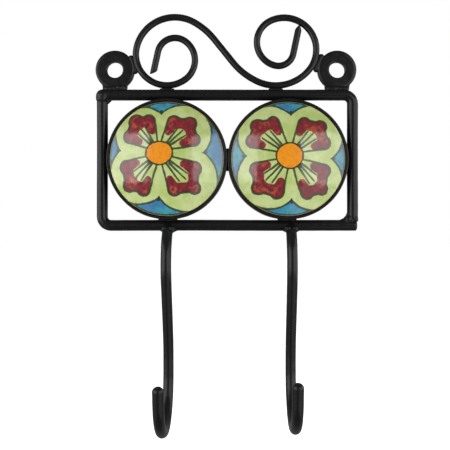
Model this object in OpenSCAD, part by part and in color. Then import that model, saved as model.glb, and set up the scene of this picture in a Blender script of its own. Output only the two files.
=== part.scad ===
// Wrought iron wall hook plate with two domed ceramic discs.
// X runs to the right, Y runs back into the wall and Z runs up, in millimetres.
// The origin is midway between the two screw holes, on the face of the wall.

/* [Discs] */
// Diameter of each ceramic disc
disc_d = 50.6; // [40:0.1:64]
// Thickness of a disc's straight edge
disc_edge_t = 5.9; // [3:0.1:7]
// Height of the dome above that edge
dome_h = 6.2; // [3:0.1:9]
// Bevel round the back of a disc
disc_bevel = 0.6; // [0.2:0.1:1.2]
// Room for glue between a disc and its ring
disc_gap = 0.2; // [0.1:0.05:0.4]
// Thickness of the bed of glue under a disc
glue_t = 1.2; // [0.5:0.1:2]

/* [Rings] */
// Thickness of the strip that each ring is bent from
ring_wall = 1.2; // [1:0.1:3]
// Depth of a ring from the wall to its front edge
ring_depth = 8.5; // [7:0.1:12]
// Bevel on the edges of the strip
ring_bevel = 0.3; // [0.1:0.1:0.5]
// Thickness of the back plate
plate_t = 0.8; // [0.5:0.1:1.5]
// Distance of the back plate from the wall
plate_inset = 0.4; // [0.2:0.1:1]
// Gap between a ring and the rail above or below it
ring_rail_gap = 0.15; // [0.1:0.05:0.4]
// Gap between a ring and the upright beside it
ring_side_gap = 0.3; // [0.1:0.05:0.6]
// Gap between the two rings
ring_mid_gap = 0.2; // [0.15:0.05:0.4]

/* [Frame] */
// Diameter of the frame rod
rod_d = 4.9; // [4:0.1:6]
// Radius of the bent corners, on the rod's centre line
corner_r = 3.9; // [3.2:0.1:6]
// How far the bottom rail's cut end stops short of the upright's outer side
rail_end_inset = 0.6; // [0.2:0.1:1.2]
// Gap at the two welded corners
corner_gap = 0.2; // [0.1:0.05:0.4]

/* [Screw lugs] */
// Outer diameter of a lug
lug_d = 17.5; // [15:0.1:21]
// Diameter of the screw hole
hole_d = 7.2; // [5:0.1:8]
// Thickness of a lug
lug_t = 3.2; // [2.5:0.1:4]
// Bevel round a lug's edges, apart from the back of its hole
lug_bevel = 0.6; // [0.3:0.1:0.9]
// Gap between a lug and the top rail
lug_gap = 0.15; // [0.1:0.05:0.4]
// Distance from the left upright to the left hole
lug_inset_left = 5.6; // [5:0.1:9]
// Distance from the right upright to the right hole
lug_inset_right = 6.9; // [5:0.1:9]

/* [Scroll] */
// Diameter of the scroll wire
wire_d = 3; // [2.5:0.1:3.6]
// Gap between the scroll and the top rail
scroll_gap = 0.4; // [0.2:0.05:0.6]
// Gap between the left curl and its lug
curl_gap_left = 0.23; // [0.1:0.01:0.8]
// Gap between the right curl and its lug
curl_gap_right = 0.87; // [0.1:0.01:0.8]
// Heading of the wire at the middle of the scroll
scroll_heading = 129; // [125:1:132]

/* [Hooks] */
// Diameter of the hook rod
hook_d = 4.5; // [4:0.1:5.2]
// Depth of the left hook below the bottom rail's centre line
hook_drop_left = 86.5; // [78:0.5:105]
// Depth of the right hook below the bottom rail's centre line
hook_drop_right = 85; // [78:0.5:105]
// How far to the right of its ring's centre the left hook hangs
hook_shift_left = 0.3; // [-3:0.1:3]
// How far to the right of its ring's centre the right hook hangs
hook_shift_right = 1.7; // [-3:0.1:3]
// Radius of the hook's seat, on the rod's centre line
seat_r = 19; // [15:0.5:23]
// Turn of the seat
seat_turn = 172; // [165:1:178]
// Straight length of the tip past the seat
tip_len = 4.7; // [3:0.1:9]
// Radius of the bow under the rail
bow_r = 20; // [17:0.5:24]
// Turn of the bow
bow_turn = 60; // [50:1:65]
// Straight length of rod before the bow, from the rail's centre line
bow_start = 0.5; // [0.2:0.1:2]
// Radius of the bend below the bow
lean_r = 28; // [20:1:34]
// Angle at which the shank leans back to the wall
lean_turn = 18; // [16:1:21]
// Radius of the bend where the shank comes upright again
ease_r = 50; // [35:1:56]
// Turn of each hook about its shank, which takes the tip to the left
hook_twist = 1.3; // [-3:0.1:3]

/* [Welds] */
// Diameter of the weld ball on the top left corner
corner_ball_d = 6.4; // [6:0.1:7.2]
// Distance of that ball's centre inwards from the upright's centre line
corner_ball_in = 0.45; // [0.2:0.05:0.8]
// Distance of that ball's centre below the rail's centre line
corner_ball_down = 0.8; // [0.6:0.05:1.2]
// Radius of the weld fillet in the bottom right corner
fillet_r = 3.6; // [2.5:0.1:4.5]
// Thickness of that fillet
fillet_t = 3; // [2:0.1:3.6]
// Diameter of the bead between a lug and the rail
lug_bead_d = 3.2; // [2.6:0.1:3.8]
// Length of the bead between a lug and the rail
lug_bead_len = 9.6; // [7:0.1:12]
// Diameter of the bead between a lug and the scroll
side_bead_d = 5; // [4:0.1:6]
// Diameter of the bead under each low point of the scroll
scroll_bead_d = 3.4; // [2.8:0.1:4]
// Diameter of the ball of weld at the top of each hook
hook_bead_d = 7; // [6.2:0.1:8]
// Distance of that ball's centre below the rail's centre line
hook_bead_down = 1.4; // [1:0.1:2]
// Distance of that ball's centre in front of the rail's centre line
hook_bead_out = 0.9; // [0.5:0.1:1.4]
// Diameter of the tacks behind the rings
tack_d = 3; // [2.4:0.1:3.6]
// Diameter of the bead between the two rings
mid_bead_d = 3.2; // [2.6:0.1:3.8]
// Length of the bead between the two rings
mid_bead_len = 10; // [7:0.5:13]

/* [Hidden] */
$fn = 48;
// Facets for the beads and what they're cut to, which are thin and need a finer circle.
bead_fn = 144;
// Two steps of a wire stop this short of where they meet, and a sleeve this long joins them.
// The sleeve's diameter is larger than the wire's by the swell.
joint_gap = 0.04;
joint_len = 0.3;
joint_swell = 0.03;

iron = "#1a1a1a";
bead_iron = "#2b2b2b";
sheet_iron = "#303030";
glaze = "#c4d683";
glue = "#d8d2bf";

// The rings lie in a row inside the frame, so the discs set the frame's size.
ring_id = disc_d + 2 * disc_gap;
ring_od = ring_id + 2 * ring_wall;
frame_w = 2 * ring_od + ring_mid_gap + 2 * ring_side_gap + rod_d;
frame_h = ring_od + 2 * ring_rail_gap + rod_d;
screw_spacing = frame_w - lug_inset_left - lug_inset_right;

left_x = -screw_spacing / 2 - lug_inset_left;
right_x = left_x + frame_w;
rail_top_z = -lug_d / 2 - lug_gap;
top_z = rail_top_z - rod_d / 2;
bottom_z = top_z - frame_h;
ring_z = (top_z + bottom_z) / 2;
ring_left_x = (left_x + right_x - ring_od - ring_mid_gap) / 2;
ring_right_x = ring_left_x + ring_od + ring_mid_gap;
disc_back = plate_inset + plate_t + glue_t;
hook_left_x = ring_left_x + hook_shift_left;
hook_right_x = ring_right_x + hook_shift_right;

// A wire is a list of steps: [0, length] is a straight and [radius, turn] is a bend,
// which turns to the left if the turn is positive. A place is [x, y, heading].
function bend_centre(at, step) =
    [at.x, at.y] + sign(step[1]) * step[0] * [-sin(at.z), cos(at.z)];
function step_end(at, step) =
    step[0] == 0
    ? [at.x + step[1] * cos(at.z), at.y + step[1] * sin(at.z), at.z]
    : let (c = bend_centre(at, step), h = at.z + step[1], side = sign(step[1]))
      [c.x + side * step[0] * sin(h), c.y - side * step[0] * cos(h), h];
function route(at, steps, i = 0) =
    i == len(steps) ? [at] : concat([at], route(step_end(at, steps[i]), steps, i + 1));
function scaled(steps, k) = [for (s = steps) s[0] == 0 ? [0, s[1] * k] : [s[0] * k, s[1]]];

// The first bend to the left that passes a heading, as [centre, radius].
function passes(from, turn, h) = floor((from + turn - h) / 360) > floor((from - h) / 360);
function bend_at(places, steps, h) = [
    for (i = [0 : len(steps) - 1])
        if (steps[i][0] > 0 && passes(places[i].z, steps[i][1], h))
            [bend_centre(places[i], steps[i]), steps[i][0]]
][0];
function at_heading(bend, h) = bend[0] + bend[1] * [sin(h), -cos(h)];
function facing(bend, p) = bend[0] + bend[1] * (p - bend[0]) / norm(p - bend[0]);

// The scroll's two curls, drawn outwards from its middle, before they are scaled to fit.
curl_left_drawn = [[0, 7.9], [31.5, 22], [17.8, 103], [14.1, 142], [10.7, 108], [7.9, 114], [0, 10]];
curl_right_drawn = [[0, 5.5], [31.1, 27], [19.6, 72], [14.5, 157], [10.8, 140], [6.8, 93], [0, 10.8]];
left_drawn = route([0, 0, scroll_heading], curl_left_drawn);
right_drawn = route([0, 0, scroll_heading + 180], curl_right_drawn);
left_side_drawn = bend_at(left_drawn, curl_left_drawn, 270);
right_side_drawn = bend_at(right_drawn, curl_right_drawn, 90);
drawn_bottom = min(
    at_heading(bend_at(left_drawn, curl_left_drawn, 0), 0).y,
    at_heading(bend_at(right_drawn, curl_right_drawn, 0), 0).y
);
// The scroll stands on the top rail and fills the room between the lugs. At a scale k, this is
// the height of its middle, and how far in from its lug's centre the bend beside it is centred.
function scroll_height(k) = rail_top_z + scroll_gap + wire_d / 2 - drawn_bottom * k;
function bend_inset(bend, gap, k) = sqrt(
    pow(bend[1] * k + gap + (lug_d + wire_d) / 2, 2) - pow(scroll_height(k) + bend[0].y * k, 2)
);
// The scale at which both gaps are met, which each step comes nearer to.
function scroll_scale(k, steps) =
    steps == 0
    ? k
    : let (
        left = bend_inset(left_side_drawn, curl_gap_left, k),
        right = bend_inset(right_side_drawn, curl_gap_right, k),
        drawn_span = right_side_drawn[0].x - left_side_drawn[0].x
    )
      scroll_scale((screw_spacing - left - right) / drawn_span, steps - 1);
scroll_k = scroll_scale(1, 40);
scroll_x = bend_inset(left_side_drawn, curl_gap_left, scroll_k)
    - screw_spacing / 2 - left_side_drawn[0].x * scroll_k;
scroll_z = scroll_height(scroll_k);
curl_left = scaled(curl_left_drawn, scroll_k);
curl_right = scaled(curl_right_drawn, scroll_k);
curl_left_places = route([scroll_x, scroll_z, scroll_heading], curl_left);
curl_right_places = route([scroll_x, scroll_z, scroll_heading + 180], curl_right);

// How far the bow stands out, and the straight lengths that bring the shank back under the rail.
bow_out = bow_start * sin(bow_turn) + bow_r * (1 - cos(bow_turn));
lean_len = (bow_out - (lean_r + ease_r) * (1 - cos(lean_turn))) / sin(lean_turn);
bow_drop = bow_start * cos(bow_turn) + bow_r * sin(bow_turn);
lean_drop = (lean_r + ease_r) * sin(lean_turn) + lean_len * cos(lean_turn);
function hook_steps(drop) = [
    [0, bow_start],
    [bow_r, -bow_turn],
    [lean_r, -lean_turn],
    [0, lean_len],
    [ease_r, lean_turn],
    [0, drop - bow_drop - lean_drop - seat_r],
    [seat_r, seat_turn],
    [0, tip_len]
];
hook_start = [rod_d / 2, bottom_z, bow_turn - 90];

// One step of a wire, which stops short of the next step and of the one before it.
module wire_step(at, step, d, gap_before = joint_gap, gap_after = joint_gap) {
    if (step[0] == 0)
        translate([at.x, at.y, 0])
            rotate([0, 90, at.z])
                translate([0, 0, gap_before])
                    cylinder(h = step[1] - gap_before - gap_after, d = d);
    else {
        c = bend_centre(at, step);
        before = gap_before / step[0] * 180 / PI;
        after = gap_after / step[0] * 180 / PI;
        first = step[1] > 0 ? at.z - 90 + before : at.z + 90 + step[1] + after;
        translate([c.x, c.y, 0])
            rotate([0, 0, first])
                rotate_extrude(angle = abs(step[1]) - before - after)
                    translate([step[0], 0])
                        circle(d = d);
    }
}

// A sleeve that joins two steps of a wire.
module wire_joint(at, d) {
    translate([at.x, at.y, 0])
        rotate([0, 90, at.z])
            cylinder(h = joint_len, d = d + joint_swell, center = true);
}

module bent_wire(start, steps, d, start_gap = 0) {
    places = route(start, steps);
    last = len(steps) - 1;
    for (i = [0 : last])
        wire_step(places[i], steps[i], d, i == 0 ? start_gap : joint_gap, i == last ? 0 : joint_gap);
    for (i = [1 : last])
        wire_joint(places[i], d);
}

// Stands a drawing up in the plane of the frame, at a distance in front of the wall.
module upright(out = 0) {
    translate([0, -out, 0])
        rotate([90, 0, 0])
            children();
}

// Stands a turned shape on the wall at a place, with its axis pointing out into the room.
module on_wall(x, z) {
    translate([x, 0, z])
        rotate([90, 0, 0])
            children();
}

// Grinds off whatever would stand behind the face of the wall.
module ground_flat() {
    intersection() {
        children();
        translate([left_x - rod_d, -2 * ring_depth, bottom_z - hook_bead_d])
            cube([frame_w + 2 * rod_d, 2 * ring_depth, frame_h + 2 * lug_d + hook_bead_d]);
    }
}

module upper_rod_shape() {
    upright(rod_d / 2)
        bent_wire(
            [left_x, top_z, 0],
            [
                [0, frame_w - corner_r],
                [corner_r, -90],
                [0, frame_h - corner_r - rod_d / 2 - corner_gap]
            ],
            rod_d
        );
}

module lower_rod_shape() {
    upright(rod_d / 2)
        bent_wire(
            [left_x, top_z - rod_d / 2 - corner_gap, -90],
            [
                [0, frame_h - corner_r - rod_d / 2 - corner_gap],
                [corner_r, 90],
                [0, frame_w - corner_r + rod_d / 2 - rail_end_inset]
            ],
            rod_d
        );
}

module scroll_shape() {
    upright(rod_d / 2) {
        bent_wire([scroll_x, scroll_z, scroll_heading], curl_left, wire_d, joint_gap);
        bent_wire([scroll_x, scroll_z, scroll_heading + 180], curl_right, wire_d, joint_gap);
        wire_joint([scroll_x, scroll_z, scroll_heading], wire_d);
    }
}

module lug_shape(x) {
    on_wall(x, 0)
        rotate_extrude()
            polygon([
                [hole_d / 2, 0],
                [lug_d / 2 - lug_bevel, 0],
                [lug_d / 2, lug_bevel],
                [lug_d / 2, lug_t - lug_bevel],
                [lug_d / 2 - lug_bevel, lug_t],
                [hole_d / 2 + lug_bevel, lug_t],
                [hole_d / 2, lug_t - lug_bevel]
            ]);
}

module ring_shape(x) {
    on_wall(x, ring_z)
        rotate_extrude()
            polygon([
                [ring_id / 2, 0],
                [ring_od / 2 - ring_bevel, 0],
                [ring_od / 2, ring_bevel],
                [ring_od / 2, ring_depth - ring_bevel],
                [ring_od / 2 - ring_bevel, ring_depth],
                [ring_id / 2 + ring_bevel, ring_depth],
                [ring_id / 2, ring_depth - ring_bevel]
            ]);
}

module back_plate(x) {
    color(sheet_iron)
        on_wall(x, ring_z)
            translate([0, 0, plate_inset])
                cylinder(h = plate_t, d = ring_id);
}

module adhesive(x) {
    color(glue)
        on_wall(x, ring_z)
            translate([0, 0, plate_inset + plate_t])
                cylinder(h = glue_t, d = ring_id);
}

module ceramic_disc(x) {
    dome_r = (pow(disc_d / 2, 2) + pow(dome_h, 2)) / (2 * dome_h);
    color(glaze)
        on_wall(x, ring_z)
            translate([0, 0, disc_back])
                intersection() {
                    union() {
                        cylinder(h = disc_bevel, d1 = disc_d - 2 * disc_bevel, d2 = disc_d);
                        translate([0, 0, disc_bevel])
                            cylinder(h = disc_edge_t + dome_h - disc_bevel, d = disc_d);
                    }
                    translate([0, 0, disc_edge_t + dome_h - dome_r])
                        sphere(r = dome_r);
                }
}

// Straight stretches of the frame, for cutting other pieces to.
module rail_bar(z, end_x = right_x) {
    translate([left_x, -rod_d / 2, z])
        rotate([0, 90, 0])
            cylinder(h = end_x - left_x, d = rod_d);
}

module upright_bar(x, low_z, high_z) {
    translate([x, -rod_d / 2, low_z])
        cylinder(h = high_z - low_z, d = rod_d);
}

// The whole round that one bend of the scroll is part of.
module bend_round(bend) {
    translate([bend[0].x, 0, bend[0].y])
        upright(rod_d / 2)
            rotate_extrude()
                translate([bend[1], 0])
                    circle(d = wire_d);
}

module hook_plane(x) {
    translate([x, 0, 0])
        rotate([0, 0, -hook_twist])
            rotate([90, 0, -90])
                children();
}

// The hook's top end is coped to fit round the rail.
module hook(x, drop) {
    steps = hook_steps(drop);
    tip = route(hook_start, steps)[len(steps)];
    color(iron)
        difference() {
            hook_plane(x) {
                bent_wire(hook_start, steps, hook_d);
                translate([tip.x, tip.y, 0])
                    sphere(d = hook_d + joint_swell);
            }
            rail_bar(bottom_z);
        }
}

module weld_ball(x, z, d, out = rod_d / 2) {
    translate([x, -out, z])
        sphere(d = d, $fn = bead_fn);
}

// A bar of weld with round ends, along Z.
module weld_bar(d, length) {
    straight = length - d;
    translate([0, 0, -straight / 2])
        rotate_extrude($fn = bead_fn)
            intersection() {
                union() {
                    circle(d = d);
                    translate([0, straight])
                        circle(d = d);
                    square([d / 2, straight]);
                }
                translate([0, -d])
                    square([d, straight + 2 * d]);
            }
}

module corner_weld_top() {
    color(bead_iron)
        ground_flat()
            difference() {
                weld_ball(left_x + corner_ball_in, top_z - corner_ball_down, corner_ball_d);
                rail_bar(top_z, $fn = bead_fn);
                upright_bar(left_x, bottom_z, top_z - rod_d / 2 - corner_gap, $fn = bead_fn);
            }
}

module corner_weld_bottom() {
    inner_x = right_x - rod_d / 2;
    inner_z = bottom_z + rod_d / 2;
    color(bead_iron)
        difference() {
            translate([inner_x - fillet_r, -rod_d / 2 - fillet_t / 2, inner_z - rod_d / 4])
                cube([fillet_r + rod_d / 2, fillet_t, fillet_r + rod_d / 4]);
            translate([inner_x - fillet_r, -rod_d, inner_z + fillet_r])
                rotate([-90, 0, 0])
                    cylinder(h = 2 * rod_d, r = fillet_r, $fn = bead_fn);
            rail_bar(bottom_z, right_x + rod_d, $fn = bead_fn);
            upright_bar(right_x, inner_z + corner_gap, top_z, $fn = bead_fn);
        }
}

module lug_rail_weld(x) {
    color(bead_iron)
        ground_flat()
            difference() {
                translate([x, -lug_t / 2, rail_top_z])
                    rotate([0, 90, 0])
                        weld_bar(lug_bead_d, lug_bead_len);
                on_wall(x, 0)
                    cylinder(h = lug_t, d = lug_d, $fn = bead_fn);
                rail_bar(top_z, $fn = bead_fn);
            }
}

module lug_scroll_weld(x, bend) {
    wire_way = facing(bend, [x, 0]) - [x, 0];
    gap = norm(wire_way) - (lug_d + wire_d) / 2;
    middle = [x, 0] + wire_way / norm(wire_way) * (lug_d + gap) / 2;
    color(bead_iron)
        ground_flat()
            difference() {
                weld_ball(middle.x, middle.y, side_bead_d);
                on_wall(x, 0)
                    cylinder(h = lug_t, d = lug_d, $fn = bead_fn);
                bend_round(bend, $fn = bead_fn);
            }
}

module scroll_rail_weld(bend) {
    color(bead_iron)
        ground_flat()
            difference() {
                weld_ball(bend[0].x, rail_top_z, scroll_bead_d);
                bend_round(bend, $fn = bead_fn);
                rail_bar(top_z, $fn = bead_fn);
            }
}

module hook_weld(x) {
    color(bead_iron)
        ground_flat()
            difference() {
                weld_ball(x, bottom_z - hook_bead_down, hook_bead_d, rod_d / 2 + hook_bead_out);
                rail_bar(bottom_z, $fn = bead_fn);
                hook_plane(x)
                    bent_wire(hook_start, [[0, bow_start], [bow_r, -bow_turn]], hook_d, $fn = bead_fn);
            }
}

// A tack behind a ring, cut to the ring and to the rod beside it.
module ring_tack(x, z, ring_x) {
    color(bead_iron)
        ground_flat()
            difference() {
                weld_ball(x, z, tack_d, tack_d / 2);
                on_wall(ring_x, ring_z)
                    cylinder(h = ring_depth, d = ring_od, $fn = 2 * bead_fn);
                children();
            }
}

module ring_rail_tack(x, rail_z, side) {
    ring_tack(x, rail_z - side * rod_d / 2, x)
        rail_bar(rail_z, $fn = bead_fn);
}

module ring_side_tack(ring_x, upright_x, side) {
    ring_tack(upright_x + side * rod_d / 2, ring_z, ring_x)
        upright_bar(upright_x, bottom_z, top_z, $fn = bead_fn);
}

module ring_middle_weld() {
    color(bead_iron)
        difference() {
            translate([(ring_left_x + ring_right_x) / 2, -ring_depth / 2, ring_z])
                weld_bar(mid_bead_d, mid_bead_len);
            for (x = [ring_left_x, ring_right_x])
                on_wall(x, ring_z)
                    cylinder(h = ring_depth, d = ring_od, $fn = 2 * bead_fn);
        }
}

color(iron) upper_rod_shape();  // frame_rod_upper
color(iron) lower_rod_shape();  // frame_rod_lower
color(iron) scroll_shape();  // scroll
color(iron) lug_shape(-screw_spacing / 2);  // lug_left
color(iron) lug_shape(screw_spacing / 2);  // lug_right
color(iron) ring_shape(ring_left_x);  // ring_left
color(iron) ring_shape(ring_right_x);  // ring_right
back_plate(ring_left_x);  // back_plate_left
back_plate(ring_right_x);  // back_plate_right
adhesive(ring_left_x);  // adhesive_left
adhesive(ring_right_x);  // adhesive_right
ceramic_disc(ring_left_x);  // ceramic_disc_left
ceramic_disc(ring_right_x);  // ceramic_disc_right
hook(hook_left_x, hook_drop_left);  // hook_left
hook(hook_right_x, hook_drop_right);  // hook_right
corner_weld_top();
corner_weld_bottom();
lug_rail_weld(-screw_spacing / 2);  // lug_rail_weld_left
lug_rail_weld(screw_spacing / 2);  // lug_rail_weld_right
lug_scroll_weld(-screw_spacing / 2, bend_at(curl_left_places, curl_left, 270));  // lug_scroll_weld_left
lug_scroll_weld(screw_spacing / 2, bend_at(curl_right_places, curl_right, 90));  // lug_scroll_weld_right
scroll_rail_weld(bend_at(curl_left_places, curl_left, 0));  // scroll_rail_weld_left
scroll_rail_weld(bend_at(curl_right_places, curl_right, 0));  // scroll_rail_weld_right
hook_weld(hook_left_x);  // hook_weld_left
hook_weld(hook_right_x);  // hook_weld_right
ring_rail_tack(ring_left_x, top_z, 1);  // ring_weld_top_left
ring_rail_tack(ring_right_x, top_z, 1);  // ring_weld_top_right
ring_rail_tack(ring_left_x, bottom_z, -1);  // ring_weld_bottom_left
ring_rail_tack(ring_right_x, bottom_z, -1);  // ring_weld_bottom_right
ring_side_tack(ring_left_x, left_x, 1);  // ring_weld_side_left
ring_side_tack(ring_right_x, right_x, -1);  // ring_weld_side_right
ring_middle_weld();  // ring_weld_middle
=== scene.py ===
"""A wrought iron wall hook plate with two painted ceramic discs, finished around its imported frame.

Each class is one sub-assembly of the plate. It holds its sizes in millimetres, shapes its pieces
from bmesh operators and dresses them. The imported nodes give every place: the rods, rings, discs,
lugs, hooks and welds here stand for the plain nodes of the same pieces.
"""

import logging
import math
from collections.abc import Callable, Iterable, Sequence
from dataclasses import dataclass, field
from enum import Enum

import bmesh
import bpy
import numpy as np
from bpy.types import Material, Node, NodeSocket, NodeTree
from mathutils import Matrix, Vector, noise


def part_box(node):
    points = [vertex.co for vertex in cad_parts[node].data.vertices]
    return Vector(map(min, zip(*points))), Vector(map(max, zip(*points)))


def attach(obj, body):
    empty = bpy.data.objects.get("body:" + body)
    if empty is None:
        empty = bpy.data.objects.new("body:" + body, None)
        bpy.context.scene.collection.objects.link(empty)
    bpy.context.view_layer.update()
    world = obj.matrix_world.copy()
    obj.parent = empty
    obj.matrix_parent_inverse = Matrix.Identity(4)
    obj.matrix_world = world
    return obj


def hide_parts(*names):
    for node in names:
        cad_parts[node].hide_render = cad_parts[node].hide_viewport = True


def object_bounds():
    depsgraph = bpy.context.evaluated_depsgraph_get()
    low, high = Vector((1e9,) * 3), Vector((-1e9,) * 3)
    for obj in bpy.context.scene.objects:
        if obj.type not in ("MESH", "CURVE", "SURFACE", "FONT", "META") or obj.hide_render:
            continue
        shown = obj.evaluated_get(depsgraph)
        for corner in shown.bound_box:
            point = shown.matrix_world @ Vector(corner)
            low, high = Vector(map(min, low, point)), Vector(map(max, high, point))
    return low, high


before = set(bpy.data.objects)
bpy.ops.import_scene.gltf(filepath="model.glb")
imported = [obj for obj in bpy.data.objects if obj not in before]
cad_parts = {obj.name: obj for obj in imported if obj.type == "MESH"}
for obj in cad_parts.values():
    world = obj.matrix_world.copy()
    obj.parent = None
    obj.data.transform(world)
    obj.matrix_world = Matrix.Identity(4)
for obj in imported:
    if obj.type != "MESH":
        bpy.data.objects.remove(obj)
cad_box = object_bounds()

log = logging.getLogger("hook_plate")

MM = 0.001  # metres
WALL_GAP = 0.02  # the least distance of weld metal from the wall
FAR = 99.0  # farther than any painted shape
BODY = "root"
NOISE_SEED = 7  # a seed of 0 would take the time, and no two runs would be alike

BMesh = bmesh.types.BMesh
Colour = tuple[float, float, float, float]
Place = tuple[float, float, float]
Start = tuple[float, float, float]
Pair = tuple[float, float]
Profile = Sequence[Pair]


class Side(Enum):
    """The two halves of the plate, as seen from the room."""

    LEFT = "left"
    RIGHT = "right"

    @property
    def sign(self) -> int:
        """The way along X that this side lies."""
        return -1 if self is Side.LEFT else 1


class Slot(Enum):
    """The record's finishes by name; no piece here is given one."""

    BLACK_PAINT = "black_paint"
    WELD_PAINT = "weld_paint"
    BACK_SHEET = "back_sheet"
    GLAZE = "painted_glaze"


# ---------------------------------------------------------------- places read from the frame


@dataclass(frozen=True)
class NodeBox:
    """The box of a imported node, in millimetres."""

    low: Vector
    high: Vector

    @classmethod
    def of(cls, node: str) -> "NodeBox":
        """Reads the box of one node."""
        low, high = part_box(node)
        return cls(low / MM, high / MM)

    @property
    def centre(self) -> Vector:
        """The middle of the box."""
        return (self.low + self.high) / 2

    @property
    def size(self) -> Vector:
        """The box's three sides."""
        return self.high - self.low


@dataclass(frozen=True)
class FramePlaces:
    """Where the frame's rods run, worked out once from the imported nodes."""

    rod_d: float
    left_x: float
    right_x: float
    top_z: float
    bottom_z: float

    @classmethod
    def read(cls) -> "FramePlaces":
        """Reads the four centre lines of the frame."""
        upper, lower = NodeBox.of("frame_rod_upper"), NodeBox.of("frame_rod_lower")
        radius = lower.size.y / 2
        return cls(
            rod_d=lower.size.y,
            left_x=lower.low.x + radius,
            right_x=upper.high.x - radius,
            top_z=upper.high.z - radius,
            bottom_z=lower.low.z + radius,
        )


# ---------------------------------------------------------------- shaping


@dataclass(frozen=True)
class Straight:
    """A straight stretch of wire."""

    length: float


@dataclass(frozen=True)
class Bend:
    """A bend, which turns to the left if its turn, in degrees, is positive."""

    radius: float
    turn: float


Step = Straight | Bend


class End(Enum):
    """How the end of a wire is finished."""

    CUT = "cut"
    DOMED = "domed"
    PINCHED = "pinched"


class WireSweep:
    """A round wire, drawn in the plane z = 0 by extruding a ring of points along its steps."""

    def __init__(self, start: Start, diameter: float, sides: int, spacing: float) -> None:
        """Sets the first ring of points across the wire and closes it with a flat face.

        Args:
            start: x, y and heading in degrees.
            diameter: Diameter of the wire.
            sides: Points round the wire.
            spacing: Distance between rings along the wire.
        """
        self.bm = bmesh.new()
        self.radius = diameter / 2
        self.spacing = spacing
        self.at = Vector((start[0], start[1], 0))
        self.heading = math.radians(start[2])
        made = bmesh.ops.create_circle(self.bm, segments=sides, radius=self.radius)
        across = Matrix.Rotation(self.heading, 3, "Z") @ Matrix.Rotation(math.radians(90), 3, "Y")
        matrix = Matrix.Translation(self.at) @ across.to_4x4()
        bmesh.ops.transform(self.bm, matrix=matrix, verts=made["verts"])
        self.ring = list(self.bm.edges)
        bmesh.ops.contextual_create(self.bm, geom=self.ring)

    @property
    def way(self) -> Vector:
        """The direction that the wire is heading in."""
        return Vector((math.cos(self.heading), math.sin(self.heading), 0))

    @property
    def left(self) -> Vector:
        """The direction to the left of the wire."""
        return Vector((-math.sin(self.heading), math.cos(self.heading), 0))

    def _extrude(self) -> list[bmesh.types.BMVert]:
        """Extrudes the last ring in place and returns the new points."""
        made = bmesh.ops.extrude_edge_only(self.bm, edges=self.ring)["geom"]
        verts = [g for g in made if isinstance(g, bmesh.types.BMVert)]
        fresh = set(verts)
        self.ring = [g for g in made if isinstance(g, bmesh.types.BMEdge) and fresh.issuperset(g.verts)]
        return verts

    def _advance(self, move: Vector) -> list[bmesh.types.BMVert]:
        """Extrudes the last ring, moves it and the wire's end on, and returns the new points."""
        verts = self._extrude()
        bmesh.ops.translate(self.bm, verts=verts, vec=move)
        self.at += move
        return verts

    def straight(self, length: float) -> None:
        """Draws a straight stretch."""
        count = max(1, round(length / self.spacing))
        step = self.way * length / count
        for _ in range(count):
            bmesh.ops.translate(self.bm, verts=self._extrude(), vec=step)
        self.at += self.way * length

    def bend(self, radius: float, turn: float) -> None:
        """Draws a bend.

        Args:
            radius: Radius of the wire's centre line.
            turn: Turn in degrees, positive to the left.
        """
        side = math.copysign(1, turn)
        centre = self.at + self.left * side * radius
        count = max(2, round(radius * math.radians(abs(turn)) / self.spacing))
        matrix = Matrix.Rotation(math.radians(turn) / count, 3, "Z")
        for _ in range(count):
            bmesh.ops.rotate(self.bm, verts=self._extrude(), cent=centre, matrix=matrix)
        self.at = centre + Matrix.Rotation(math.radians(turn), 3, "Z") @ (self.at - centre)
        self.heading += math.radians(turn)

    def follow(self, steps: Iterable[Step]) -> None:
        """Draws all the steps in turn."""
        for step in steps:
            if isinstance(step, Straight):
                self.straight(step.length)
            else:
                self.bend(step.radius, step.turn)

    def finish(self, style: End, chamfer: float = 0.0) -> None:
        """Closes the far end.

        Args:
            style: How the end is finished.
            chamfer: Length of a cut end's worn edge.
        """
        dome_length, pinch_length, worn = self.radius * 0.92, self.radius * 1.5, 0.28
        if style is End.DOMED:
            self._narrow(dome_length, lambda t: math.sqrt(max(0.0, 1 - t * t)), 9)
        elif style is End.PINCHED:
            self._pinch(pinch_length)
        else:
            self._narrow(chamfer, lambda t: 1 - worn * t * t, 4)
        bmesh.ops.contextual_create(self.bm, geom=self.ring)

    def _narrow(self, length: float, width: Callable[[float], float], count: int) -> None:
        """Extrudes the end while it narrows by a rule of how far along it is."""
        least, last = 0.05, 1.0
        for i in range(1, count + 1):
            now = max(width(i / count * 0.995), least)
            verts = self._advance(self.way * length / count)
            about = Matrix.Translation(-self.at)
            bmesh.ops.scale(self.bm, verts=verts, vec=Vector((now / last,) * 3), space=about)
            last = now

    def _pinch(self, length: float, count: int = 6) -> None:
        """Draws the end out to a flat edge, as side cutters leave it."""
        flattened, rush = 0.75, 1.6
        for i in range(count):
            verts = self._advance(self.way * length / count)
            keep = 1 - flattened * ((i + 1) / count) ** rush
            before = 1 - flattened * (i / count) ** rush
            for v in verts:
                off = (v.co - self.at).dot(self.left)
                v.co -= self.left * off * (1 - keep / before)


def stand_up(bm: BMesh, out: float) -> None:
    """Stands a drawing up in the plane of the wall, at a distance in front of it."""
    matrix = Matrix.Translation((0, -out, 0)) @ Matrix.Rotation(math.radians(90), 4, "X")
    bmesh.ops.transform(bm, matrix=matrix, verts=bm.verts)


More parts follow.
